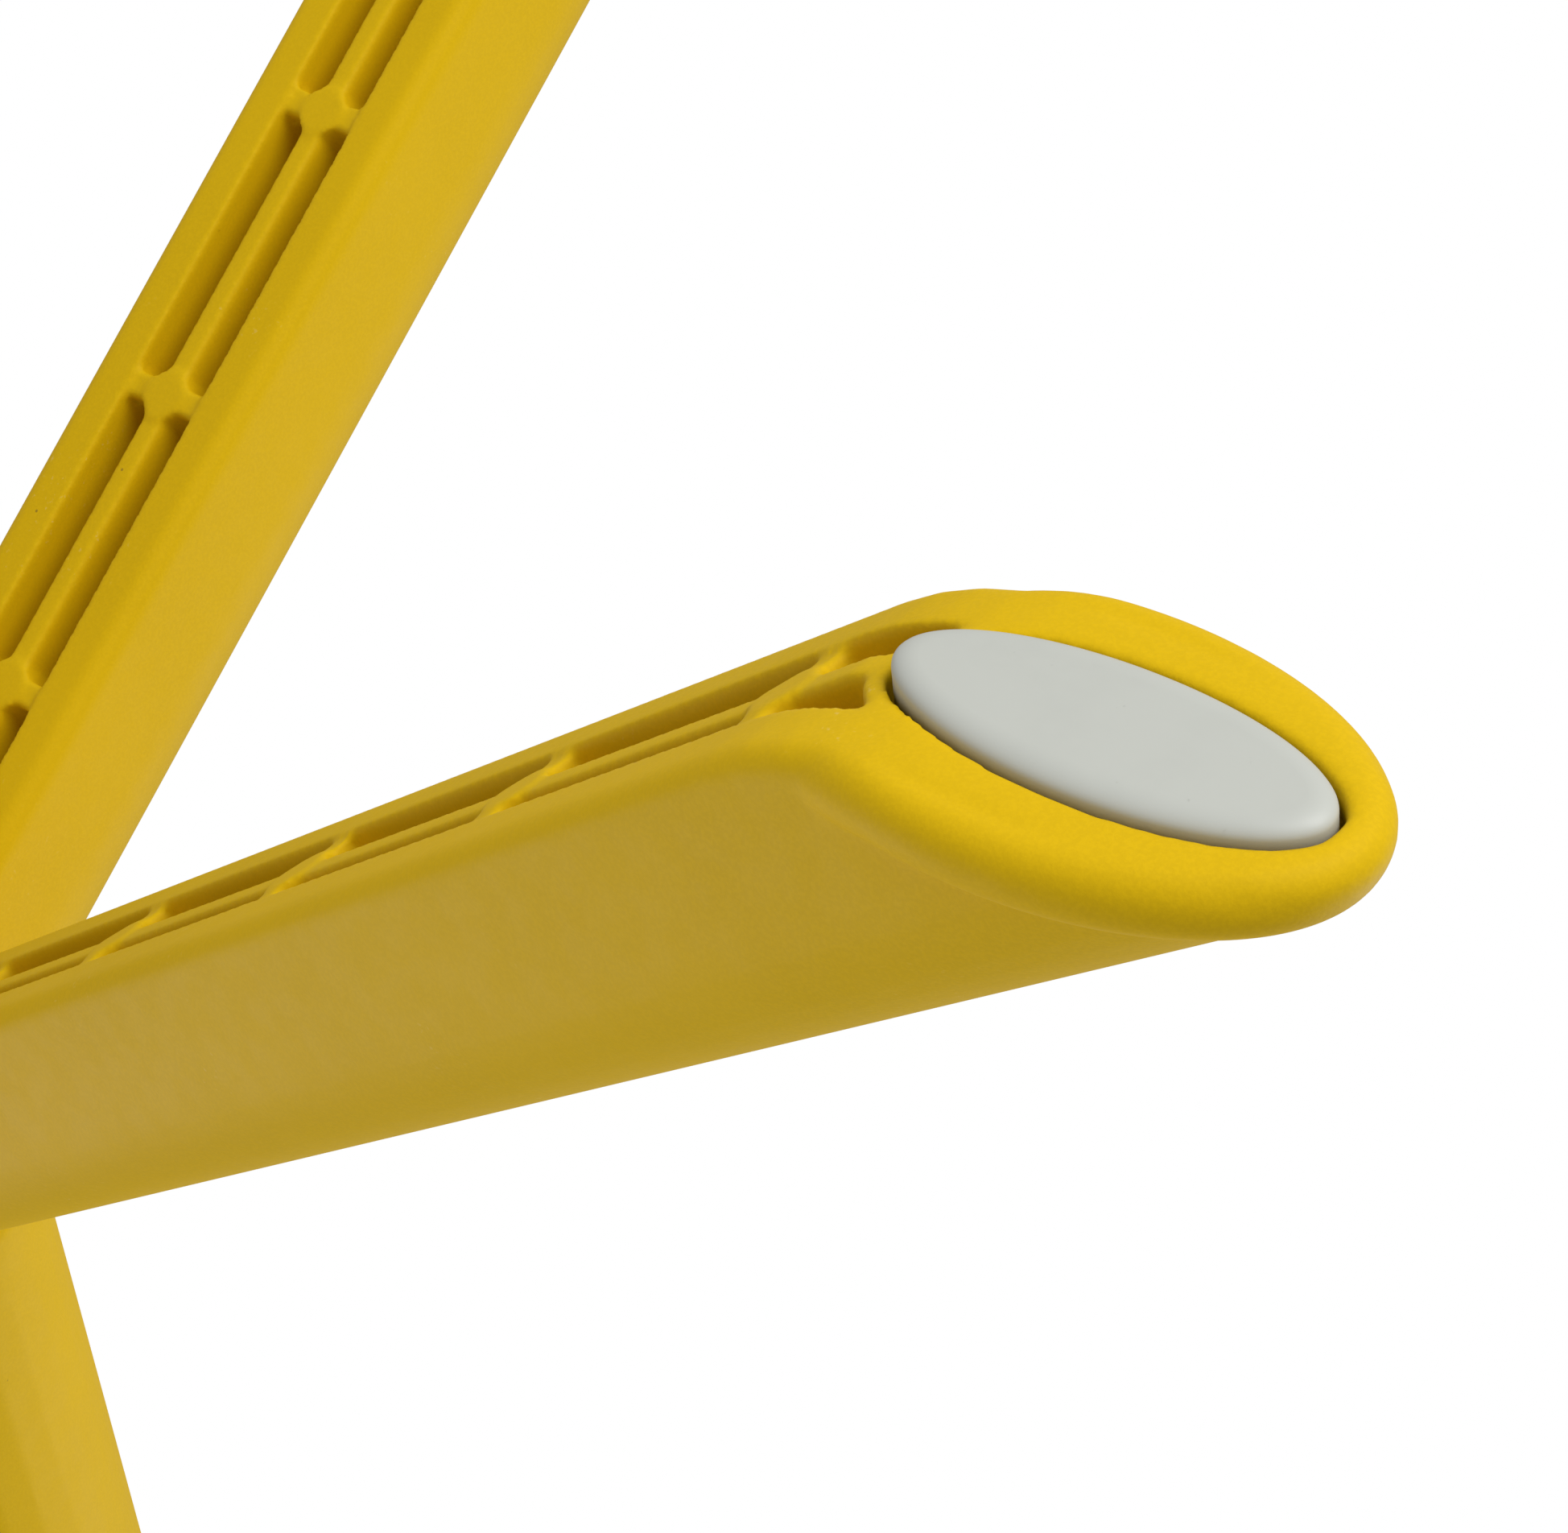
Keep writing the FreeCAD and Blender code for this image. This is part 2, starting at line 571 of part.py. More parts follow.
def belt_run():
    """The belt from the roll, round the inner guide post and out to the belt's end piece."""
    half = size("belt_thickness") / 2
    roll = size("roll_radius") + size("run_gap") + half
    bend = size("guide_radius") + size("slide_fit") + half
    pin = Vector(value_of(guide_out), -value_of(guide_across), 0)
    lean = math.asin((roll + bend) / pin.Length) + math.atan2(pin.y, pin.x)
    ahead = Vector(math.cos(lean), math.sin(lean), 0)
    beside = Vector(-math.sin(lean), math.cos(lean), 0)
    leaves = beside * -roll
    meets = pin + beside * bend
    straight = pin + Vector(0, bend, 0)
    middle_turn = lean / 2
    middle = Vector(-math.sin(middle_turn), math.cos(middle_turn), 0)
    end = Vector(value_of("<head_radius> + <bezel_depth>"), straight.y, 0)
    sides = []
    for offset in (half, -half):
        radius = bend + offset
        sides.append([leaves + beside * offset, meets + beside * offset,
                      pin + middle * radius, straight + Vector(0, offset, 0),
                      end + Vector(0, offset, 0)])
    upper, lower = sides
    edges = [
        Part.LineSegment(upper[0], upper[1]).toShape(),
        Part.Arc(upper[1], upper[2], upper[3]).toShape(),
        Part.LineSegment(upper[3], upper[4]).toShape(),
        Part.LineSegment(upper[4], lower[4]).toShape(),
        Part.LineSegment(lower[4], lower[3]).toShape(),
        Part.Arc(lower[3], lower[2], lower[1]).toShape(),
        Part.LineSegment(lower[1], lower[0]).toShape(),
        Part.LineSegment(lower[0], upper[0]).toShape(),
    ]
    face = Part.Face(Part.Wire(edges))
    face.translate(Vector(0, 0, value_of(belt_low)))
    return face.extrude(Vector(0, 0, size("belt_width")))


lead = doc.addObject("Part::Feature", "belt_lead_form")
lead.Shape = belt_run()
node(lead, "belt_lead")

# ------------------------------------------------- belt slot trim and belt end
bezel_out = "<head_radius> + <bezel_depth>"
trim = box("bezel_block", "<bezel_depth> * 2", "<slot_width> + 8", "<slot_height> + 8",
           (bezel_out + " - <bezel_depth> * 2", "-<slot_width> / 2 - 4",
            belt_mid + " - <slot_height> / 2 - 4"))
trim_hole = box("bezel_hole", "<bezel_depth> * 4", "<slot_width>", "<slot_height>",
                (bezel_out + " - <bezel_depth> * 3", "-<slot_width> / 2",
                 belt_mid + " - <slot_height> / 2"))
trim_back = cylinder("bezel_back", "<head_radius> + <seat_gap>", "<head_height>", ("0", "0", head_base))
node(cut("bezel", trim, compound("bezel_cutter", [trim_hole, trim_back])), "slot_bezel")
end_low = belt_mid + " - <belt_width> / 2 - 1"
end_height = "<belt_width> + 2"
web_out = bezel_out + " + 0.3"
web_length = "6"
web = box("end_web", web_length, "<web_width>", end_height,
          (web_out, "-<web_width> / 2", end_low))
cross_bar = box("end_cross_bar", "<tee_depth>", "<tee_width>", end_height,
                (web_out + " + " + web_length, "-<tee_width> / 2", end_low))
gap = box("end_belt_gap", "4.5", "<belt_thickness> + 0.1", "<belt_width> + 0.1",
          (web_out, "-<belt_thickness> / 2 - 0.05", belt_mid + " - <belt_width> / 2 - 0.05"))
node(cut("end_piece", fuse("end_block", [web, cross_bar]), gap), "belt_end_clip")
node(box("end_tab", "4.3", "<belt_thickness>", "<belt_width>",
         (web_out + " + 0.1", "-<belt_thickness> / 2", belt_mid + " - <belt_width> / 2")),
     "belt_end_tab")

# ------------------------------------------------------------------- receivers
receiver_low = belt_mid + " - <receiver_height> / 2"
receiver_out = "<head_radius> + <receiver_depth>"
block = box("receiver_block", "<receiver_depth> + 4", "<receiver_width>", "<receiver_height>",
            (receiver_out + " - <receiver_depth> - 4", "-<receiver_width> / 2", receiver_low))
tee_slot = box("receiver_tee", "<tee_depth> + 2 * <tee_clearance>",
               "<tee_width> + 2 * <tee_clearance>", "<receiver_height>",
               (receiver_out + " - 2.5 - <tee_depth> - 2 * <tee_clearance>",
                "-<tee_width> / 2 - <tee_clearance>", receiver_low + " + 4"))
mouth = box("receiver_mouth", "6", "<web_width> + 2 * <tee_clearance>", "<receiver_height>",
            (receiver_out + " - 4", "-<web_width> / 2 - <tee_clearance>", receiver_low + " + 4"))
back = cylinder("receiver_back", "<head_radius> + <seat_gap>", "<head_height>", ("0", "0", head_base))
screw_bores = []
for level in ("-18", "18"):
    tag = "low" if level[0] == "-" else "high"
    screw_bores.append(cylinder("receiver_bore_%s" % tag, "<screw_radius> + <slide_fit>", "10",
                                (shell_bore + " - 2", "0", belt_mid + " + " + level),
                                axis="0;1;0", angle="90"))
receiver = cut("receiver_form", block,
               compound("receiver_cutter", [tee_slot, mouth, back] + screw_bores))
for index, turn in enumerate(RECEIVER_TURNS, start=1):
    copy = doc.addObject("App::Link", "receiver_%d" % index)
    copy.LinkedObject = receiver
    copy.LinkTransform = True
    node(place(copy, angle=str(turn)), "belt_receiver_%d" % index)


# ----------------------------------------------------------------------- write
def check_document():
    doc.recompute()
    for thing in doc.Objects:
        if "Invalid" in thing.State or "Error" in thing.State:
            raise RuntimeError("%s failed: %s" % (thing.Name, thing.State))
    for thing in NODES:
        shape = Part.getShape(thing)
        if shape.isNull() or not shape.isValid():
            raise RuntimeError("%s has no valid shape" % thing.Label)


def write_parts():
    os.makedirs("parts", exist_ok=True)
    for thing in NODES:
        shape = Part.getShape(thing)
        solids = shape.Solids
        whole = solids[0] if len(solids) == 1 else Part.makeCompound(solids)
        whole.exportStep("parts/%s.step" % thing.Label)
        box_of = shape.BoundBox
        print("%-22s %2d solids %10.1f mm3  z %.1f to %.1f"
              % (thing.Label, len(solids), shape.Volume, box_of.ZMin, box_of.ZMax))


check_document()
write_parts()
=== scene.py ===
import json
import math

import bmesh
import bpy
from mathutils import Matrix, Vector


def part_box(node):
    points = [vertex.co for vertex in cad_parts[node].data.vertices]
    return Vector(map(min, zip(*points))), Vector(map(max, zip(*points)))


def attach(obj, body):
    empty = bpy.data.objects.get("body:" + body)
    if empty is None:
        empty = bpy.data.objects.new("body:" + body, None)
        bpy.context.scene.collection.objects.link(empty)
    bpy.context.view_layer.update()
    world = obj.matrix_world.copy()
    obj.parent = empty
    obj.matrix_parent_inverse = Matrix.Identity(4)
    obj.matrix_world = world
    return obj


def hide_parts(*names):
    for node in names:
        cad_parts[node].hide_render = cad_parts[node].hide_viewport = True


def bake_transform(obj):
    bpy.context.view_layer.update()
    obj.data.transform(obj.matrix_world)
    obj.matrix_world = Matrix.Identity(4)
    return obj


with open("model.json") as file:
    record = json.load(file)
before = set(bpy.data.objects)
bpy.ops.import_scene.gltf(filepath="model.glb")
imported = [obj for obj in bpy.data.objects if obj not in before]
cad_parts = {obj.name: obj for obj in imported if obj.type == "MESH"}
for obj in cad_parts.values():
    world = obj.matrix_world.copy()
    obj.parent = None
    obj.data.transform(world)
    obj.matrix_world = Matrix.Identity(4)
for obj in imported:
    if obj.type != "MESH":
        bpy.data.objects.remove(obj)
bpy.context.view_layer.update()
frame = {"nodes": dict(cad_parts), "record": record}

bl_info = {
    "name": "Belt Post",
    "version": (1, 0, 0),
    "blender": (4, 5, 0),
    "location": "3D View > Sidebar > Belt Post",
    "description": "A belt post of a crowd control barrier on a moulded four-legged base",
    "category": "Add Mesh",
}

MM = 0.001


def node_box(name):
    """Lowest and highest corner of a CAD piece, in metres."""
    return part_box(name)


# ----------------------------------------------------------------------- sizes
# a leg's lower side: its slope in degrees, and its bend into the level sole
LEG_SLOPE = 36.3
LEG_CORNER = 249.8 * MM
BEND_RADIUS = 45.0 * MM
FOOT_SOLE = 1.3 * MM

# the oval rim round a foot's sole
RIM_MIDDLE = 270.7 * MM
RIM_LONG = 35.1 * MM
RIM_SHORT = 21.1 * MM
RIM_ROUND = 4.1 * MM
RIM_START = 249.0 * MM
RIM_STEPS = 160
RIM_ROUNDS = 12

# softening of the base: each quarter is made with a margin, which is then cut off
MARGIN = 8.0 * MM
VOXEL = 0.6 * MM
SOFTENING = 8
MOST_TRIANGLES = 190000

# a foot pad: the height of its rounded lower edge, and its top in the pocket
PAD_ROUNDS = 8
PAD_DROP = 1.5 * MM
PAD_TOP = 6.2 * MM

# the belt: cloth, wound turns, and its run over the guide post
BELT_THICKNESS = 0.6 * MM
WOUND_STEP = 0.25 * MM
BELT_CLOTH = 0.54 * MM
BELT_START = 16.84 * MM
GUIDE_AT = 34.5 * MM
GUIDE_MEETS = 32.11 * MM
GUIDE_ROUND = 3.35 * MM
BELT_LEAN = 1.018

# finishes
CLOUD_SIZE = 45.0 * MM
SCUFF_PATCH = 30.0 * MM
SCUFF_MARK = 1.1 * MM
SCUFF_COLOUR = (0.80, 0.66, 0.32, 1.0)
SPECK_SPACING = 12.0 * MM
SPECK_COLOUR = (0.16, 0.09, 0.02, 1.0)
BLACK = (0.025, 0.025, 0.026, 1.0)
ZINC = (0.62, 0.63, 0.65, 1.0)
BRIGHT = (0.72, 0.72, 0.71, 1.0)
BLUED = (0.23, 0.24, 0.27, 1.0)
ACETAL = (0.78, 0.78, 0.73, 1.0)
PLASTIC_IOR = 1.49

# camera and lamps
VIEW_FROM = Vector((0.455237, 0.227101, -0.219968))
VIEW_RIGHT = Vector((0.758304, -0.645571, 0.090627))
VIEW_UP = Vector((-0.341832, -0.512139, -0.787949))
VIEW_BACK = Vector((0.555091, 0.566526, -0.609034))
VIEW_LENS = 87.98
FOOT_AIM = (0.2, 0.0, 0.05)
POST_AIM = (0.0, 0.0, 0.5)


# ------------------------------------------------------------------- settings
class BeltPostSizes(bpy.types.PropertyGroup):
    """Sizes of the pieces that are modelled here."""
    pad_round: bpy.props.FloatProperty(
        name="Pad edge", description="Rounding of a foot pad's lower edge",
        default=3.0 * MM, min=0.0, unit="LENGTH")
    belt_yarn: bpy.props.FloatProperty(
        name="Belt yarn", description="Pitch of the weave across the belt",
        default=1.6 * MM, min=0.0002, unit="LENGTH")
    grain: bpy.props.FloatProperty(
        name="Moulded grain", description="Size of the grain of the moulded plastic",
        default=0.55 * MM, min=0.0001, unit="LENGTH")


class BeltPostColours(bpy.types.PropertyGroup):
    """Colours of the finishes."""
    yellow: bpy.props.FloatVectorProperty(
        name="Yellow plastic", description="Colour of the base, the tube and the head",
        subtype="COLOR", size=4, min=0.0, max=1.0, default=(0.69, 0.44, 0.001, 1.0))
    grey: bpy.props.FloatVectorProperty(
        name="Grey rubber", description="Colour of the foot pads and the neck seal",
        subtype="COLOR", size=4, min=0.0, max=1.0, default=(0.51, 0.523, 0.478, 1.0))
    dark_grey: bpy.props.FloatVectorProperty(
        name="Grey plastic", description="Colour of the cap, receivers and belt end",
        subtype="COLOR", size=4, min=0.0, max=1.0, default=(0.36, 0.38, 0.35, 1.0))
    belt: bpy.props.FloatVectorProperty(
        name="Belt", description="Colour of the belt",
        subtype="COLOR", size=4, min=0.0, max=1.0, default=(0.030, 0.032, 0.034, 1.0))


# ------------------------------------------------------------------- materials
class Wire:
    """A shader socket that takes part in Python arithmetic."""

    def __init__(self, board, socket):
        self.board = board
        self.socket = socket

    def _with(self, operation, other):
        return self.board.maths(operation, self, other)

    def __add__(self, other):
        return self._with("ADD", other)

    __radd__ = __add__

    def __mul__(self, other):
        return self._with("MULTIPLY", other)

    __rmul__ = __mul__

    def __sub__(self, other):
        return self._with("SUBTRACT", other)

    def __rsub__(self, other):
        return self.board.maths("SUBTRACT", other, self)

    def __gt__(self, other):
        return self._with("GREATER_THAN", other)


class Board:
    """The node tree of one finish."""

    def __init__(self, name):
        self.material = bpy.data.materials.new(name)
        self.material.use_nodes = True
        self.tree = self.material.node_tree
        self.tree.nodes.clear()

    def node(self, kind, settings=None, sockets=None, output=0):
        """Adds a node: its settings first, then the values or links of its sockets."""
        made = self.tree.nodes.new(kind)
        for name, value in (settings or {}).items():
            setattr(made, name, value)
        for name, value in (sockets or {}).items():
            if isinstance(value, Wire):
                self.tree.links.new(value.socket, made.inputs[name])
            else:
                made.inputs[name].default_value = value
        return Wire(self, made.outputs[output])

    def maths(self, operation, first, second=0.0):
        return self.node("ShaderNodeMath", {"operation": operation}, {0: first, 1: second})

    def vector(self, operation, first, second):
        return self.node("ShaderNodeVectorMath", {"operation": operation}, {0: first, 1: second})

    def blend(self, share, first, second):
        """Mixes two colours."""
        return self.node("ShaderNodeMix", {"data_type": "RGBA"},
                         {0: share, 6: first, 7: second}, 2)

    def between(self, value, low, high, to_low=0.0, to_high=1.0):
        """Maps a range of values smoothly to another."""
        return self.node("ShaderNodeMapRange", {"interpolation_type": "SMOOTHSTEP"},
                         {"Value": value, "From Min": low, "From Max": high,
                          "To Min": to_low, "To Max": to_high})

    def here(self):
        """The place on the piece, in metres."""
        return self.node("ShaderNodeTexCoord", {}, {}, "Object")

    def axes(self, vector):
        """The three parts of a vector."""
        parts = self.node("ShaderNodeSeparateXYZ", {}, {"Vector": vector})
        node = parts.socket.node
        return [Wire(self, node.outputs[index]) for index in range(3)]

    def noise(self, size, detail=2.0, roughness=0.5, stretch=None):
        """Noise whose lumps are about the given size across, in metres."""
        place = self.here()
        if stretch:
            place = self.vector("MULTIPLY", place, stretch)
        return self.node("ShaderNodeTexNoise", {},
                         {"Vector": place, "Scale": 1.0 / size, "Detail": detail,
                          "Roughness": roughness})

    def bump(self, height, strength, depth):
        return self.node("ShaderNodeBump", {},
                         {"Height": height, "Strength": strength, "Distance": depth})

    def close(self, shader):
        made = self.tree.nodes.new("ShaderNodeOutputMaterial")
        self.tree.links.new(shader.socket, made.inputs["Surface"])
        return self.material


def tone(colour, factor):
    return tuple(min(1.0, part * factor) for part in colour[:3]) + (1.0,)


FINISHES = {}


def finish_named(name):
    """A finish, made the first time that it is asked for."""
    if name not in FINISHES:
        FINISHES[name] = MAKERS[name]()
    return FINISHES[name]


def moulded_yellow(name, grain_depth):
    """Fine-grained matt plastic with faint clouds, scuffs and a few specks."""
    colours = bpy.context.scene.belt_post_colours
    sizes = bpy.context.scene.belt_post_sizes
    board = Board(name)
    yellow = tuple(colours.yellow)
    clouds = board.noise(CLOUD_SIZE, 3.0, 0.55)
    body = board.blend(board.between(clouds, 0.35, 0.68), tone(yellow, 0.98), tone(yellow, 1.02))
    grain = board.noise(sizes.grain, 3.0, 0.6)
    body = board.blend(board.between(grain, 0.38, 0.66) * 0.5, body, tone(yellow, 1.10))
    # scuffs: short pale marks in patches
    patches = board.between(board.noise(SCUFF_PATCH, 2.0, 0.5), 0.56, 0.70)
    marks = board.between(board.noise(SCUFF_MARK, 2.0, 0.7), 0.64, 0.74)
    scuffs = patches * marks
    body = board.blend(scuffs * 0.22, body, SCUFF_COLOUR)
    # specks: tiny dark marks, far apart
    cells = board.node("ShaderNodeTexVoronoi", {"feature": "F1"},
                       {"Vector": board.here(), "Scale": 1.0 / SPECK_SPACING})
    specks = 1.0 - board.between(cells, 0.014, 0.030)
    chance = board.node("ShaderNodeTexVoronoi", {"feature": "F1"},
                        {"Vector": board.here(), "Scale": 1.0 / SPECK_SPACING}, "Color")
    rare = board.axes(chance)[0] > 0.62
    body = board.blend(specks * rare * 0.6, body, SPECK_COLOUR)
    rough = board.between(board.noise(0.004, 2.0, 0.5), 0.3, 0.7, 0.60, 0.64) - scuffs * 0.04
    normal = board.bump(grain, 0.35, grain_depth)
    return board, body, rough, normal


def base_yellow():
    board, body, rough, normal = moulded_yellow("yellow_moulding", 0.09 * MM)
    shader = board.node("ShaderNodeBsdfPrincipled", {}, {
        "Base Color": body, "Roughness": rough, "Normal": normal, "IOR": PLASTIC_IOR,
        "Specular IOR Level": 0.12})
    return board.close(shader)


def plain_plastic(name, colour, rough, grain, depth):
    """Matt moulded plastic in one colour, with its own grain."""
    board = Board(name)
    clouds = board.noise(0.03, 3.0, 0.5)
    fine = board.noise(grain, 3.0, 0.6)
    body = board.blend(board.between(clouds, 0.35, 0.68), tone(colour, 0.95), tone(colour, 1.05))
    body = board.blend(board.between(fine, 0.42, 0.62) * 0.4, body, tone(colour, 1.12))
    shine = board.between(board.noise(0.006, 2.0, 0.5), 0.3, 0.7, rough - 0.05, rough + 0.05)
    shader = board.node("ShaderNodeBsdfPrincipled", {}, {
        "Base Color": body, "Roughness": shine, "Normal": board.bump(fine, 0.3, depth),
        "IOR": PLASTIC_IOR, "Specular IOR Level": 0.30})
    return board.close(shader)


def pad_rubber():
    """Smooth pale rubber with faint smudges and a little dirt."""
    colour = tuple(bpy.context.scene.belt_post_colours.grey)
    board = Board("grey_rubber")
    smudges = board.between(board.noise(0.012, 3.0, 0.6), 0.45, 0.75)
    body = board.blend(smudges * 0.35, colour, tone(colour, 0.90))
    dirt = board.between(board.noise(0.0016, 2.0, 0.6), 0.70, 0.80)
    body = board.blend(dirt * 0.35, body, tone(colour, 0.55))
    fine = board.noise(0.35 * MM, 2.0, 0.5)
    shader = board.node("ShaderNodeBsdfPrincipled", {}, {
        "Base Color": body, "Roughness": board.between(smudges, 0.0, 1.0, 0.46, 0.56),
        "Normal": board.bump(fine, 0.10, 0.03 * MM), "IOR": 1.5})
    return board.close(shader)


def steel(name, colour, rough):
    """Turned or plated steel with fine lines round the post's axis."""
    board = Board(name)
    lines = board.noise(0.4 * MM, 2.0, 0.5, stretch=(1.0, 1.0, 12.0))
    body = board.blend(board.between(lines, 0.3, 0.7), tone(colour, 0.92), tone(colour, 1.05))
    shine = board.between(lines, 0.3, 0.7, rough - 0.06, rough + 0.08)
    shader = board.node("ShaderNodeBsdfPrincipled", {}, {
        "Base Color": body, "Roughness": shine, "Metallic": 1.0,
        "Normal": board.bump(lines, 0.2, 0.02 * MM)})
    return board.close(shader)


def colour_of(name):
    return tuple(getattr(bpy.context.scene.belt_post_colours, name))


def webbing():
    """Close-woven belt cloth: crossing yarns in rows along and across the belt."""
    colour = colour_of("belt")
    pitch = bpy.context.scene.belt_post_sizes.belt_yarn
    board = Board("belt_webbing")
    along, beside, up = board.axes(board.here())
    across = board.maths("SINE", up * (math.tau / pitch))
    run = board.maths("SINE", (along + beside) * (math.tau / pitch) + up * (math.pi / pitch))
    weave = across * run
    yarn = board.between(weave, -1.0, 1.0)
    fibre = board.noise(0.25 * MM, 2.0, 0.6)
    body = board.blend(yarn, tone(colour, 0.75), tone(colour, 1.35))
    body = board.blend(board.between(fibre, 0.4, 0.7) * 0.3, body, tone(colour, 1.7))
    normal = board.bump(yarn + fibre * 0.3, 0.6, 0.12 * MM)
    shader = board.node("ShaderNodeBsdfPrincipled", {}, {
        "Base Color": body, "Roughness": board.between(yarn, 0.0, 1.0, 0.82, 0.70),
        "Normal": normal, "Sheen Weight": 0.15})
    return board.close(shader)


MAKERS = {
    "yellow_moulding": base_yellow,
    "yellow_tube": lambda: plain_plastic(
        "yellow_tube", colour_of("yellow"), 0.42, 0.9 * MM, 0.02 * MM),
    "yellow_plastic": lambda: plain_plastic(
        "yellow_plastic", colour_of("yellow"), 0.50, 0.5 * MM, 0.06 * MM),
    "grey_rubber": pad_rubber,
    "grey_plastic": lambda: plain_plastic(
        "grey_plastic", colour_of("dark_grey"), 0.50, 0.5 * MM, 0.06 * MM),
    "black_plastic": lambda: plain_plastic("black_plastic", BLACK, 0.45, 0.6 * MM, 0.04 * MM),
    "zinc_steel": lambda: steel("zinc_steel", ZINC, 0.36),
    "bright_steel": lambda: steel("bright_steel", BRIGHT, 0.25),
    "spring_steel": lambda: steel("spring_steel", BLUED, 0.35),
    "acetal": lambda: plain_plastic("acetal", ACETAL, 0.35, 1.2 * MM, 0.02 * MM),
    "belt_webbing": webbing,
}


def dress(piece, finish):
    """Puts one finish on a piece."""
    piece.data.materials.clear()
    piece.data.materials.append(finish_named(finish))


def slot_of(node):
    for part in frame["record"]["subparts"]:
        if part["node"] == node:
            return part["material_slot"]
    raise RuntimeError("no finish is recorded for %s" % node)


def dress_nodes(names):
    for name in names:
        dress(frame["nodes"][name], slot_of(name))


# ------------------------------------------------------------------- operators
class BELTPOST_OT_base(bpy.types.Operator):
    """The four-legged moulding with its ribs and neck."""
    bl_idname = "belt_post.base"
    bl_label = "Base moulding"

    def execute(self, context):
        dress_nodes(["hub_bolt", "hub_washer", "neck_collar"])
        quarter = soft_quarter()
        for number in range(4):
            mesh = quarter.copy()
            mesh.transform(Matrix.Rotation(math.radians(90.0 * number), 4, "Z"))
            piece = bpy.data.objects.new("base_quarter_%d" % (number + 1), mesh)
            bpy.context.scene.collection.objects.link(piece)
            dress(piece, "yellow_moulding")
            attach(piece, "post")
            if number == 0:
                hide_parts("base_moulding")
        bpy.data.meshes.remove(quarter)
        return {"FINISHED"}


def cad_copy(name):
    """A merged copy of a CAD piece's mesh, as a bmesh."""
    shape = bmesh.new()
    shape.from_mesh(frame["nodes"][name].data)
    bmesh.ops.remove_doubles(shape, verts=shape.verts, dist=0.002 * MM)
    return shape


def oval_loop(shape, middle, long, short, height):
    """An oval ring of edges at the first foot."""
    loop = bmesh.ops.create_circle(shape, cap_ends=False, segments=RIM_STEPS, radius=1.0)["verts"]
    bmesh.ops.scale(shape, verts=loop, vec=(long, short, 1.0))
    bmesh.ops.translate(shape, verts=loop, vec=(middle, 0.0, height))
    return list({edge for vert in loop for edge in vert.link_edges})


def foot_rim():
    """The rounded rim that stands out round the sole of the first foot."""
    block = bmesh.new()
    loops = []
    for step in range(RIM_ROUNDS + 1):
        turn = math.radians(-90.0 + 180.0 * step / RIM_ROUNDS)
        out = RIM_ROUND * math.cos(turn)
        loops.append(oval_loop(block, RIM_MIDDLE, RIM_LONG - RIM_ROUND + out,
                               RIM_SHORT - RIM_ROUND + out,
                               FOOT_SOLE + RIM_ROUND * (1.0 + math.sin(turn))))
    for lower, upper in zip(loops, loops[1:] + loops[:1]):
        bmesh.ops.bridge_loops(block, edges=lower + upper)
    bmesh.ops.recalc_face_normals(block, faces=block.faces)
    bend_end = LEG_CORNER + BEND_RADIUS * math.tan(math.radians(LEG_SLOPE) / 2)
    for vert in block.verts:
        short_of = min(max(bend_end - vert.co.x, 0.0), BEND_RADIUS * 0.9)
        vert.co.z += BEND_RADIUS - math.sqrt(BEND_RADIUS ** 2 - short_of ** 2)
    slice_off(block, Vector((RIM_START, 0.0, 0.0)), Vector((-1.0, 0.0, 0.0)))
    return block


def soft_quarter():
    """A quarter of the base with one leg, its edges softened as a moulding's are."""
    shape = cad_copy("base_moulding")
    for side in (-1.0, 1.0):
        slice_off(shape, Vector((-MARGIN, 0.0, 0.0)), Vector((-1.0, side, 0.0)).normalized())
    rim = foot_rim()
    mesh = bpy.data.meshes.new("base_quarter")
    spare = bpy.data.meshes.new("rim")
    rim.to_mesh(spare)
    rim.free()
    shape.from_mesh(spare)
    bpy.data.meshes.remove(spare)
    shape.to_mesh(mesh)
    shape.free()
    holder = bpy.data.objects.new("base_quarter", mesh)
    bpy.context.scene.collection.objects.link(holder)
    remesh = holder.modifiers.new("moulding", "REMESH")
    remesh.mode = "VOXEL"
    remesh.voxel_size = VOXEL
    remesh.use_smooth_shade = True
    smooth = holder.modifiers.new("soft_edges", "SMOOTH")
    smooth.factor = 0.5
    smooth.iterations = SOFTENING
    graph = bpy.context.evaluated_depsgraph_get()
    soft = bpy.data.meshes.new_from_object(holder.evaluated_get(graph))
    bpy.data.objects.remove(holder)
    quarter = bmesh.new()
    quarter.from_mesh(soft)
    for side in (-1.0, 1.0):
        slice_off(quarter, Vector((0.0, 0.0, 0.0)), Vector((-1.0, side, 0.0)).normalized())
    quarter.to_mesh(soft)
    quarter.free()
    return thinned(soft)


def slice_off(shape, place, normal):
    """Takes away what lies beyond a plane and closes the cut."""
    geom = list(shape.verts) + list(shape.edges) + list(shape.faces)
    cut = bmesh.ops.bisect_plane(shape, geom=geom, plane_co=place, plane_no=normal,
                                 clear_outer=True)["geom_cut"]
    edges = [item for item in cut if isinstance(item, bmesh.types.BMEdge)]
    bmesh.ops.triangle_fill(shape, edges=edges, use_beauty=True)


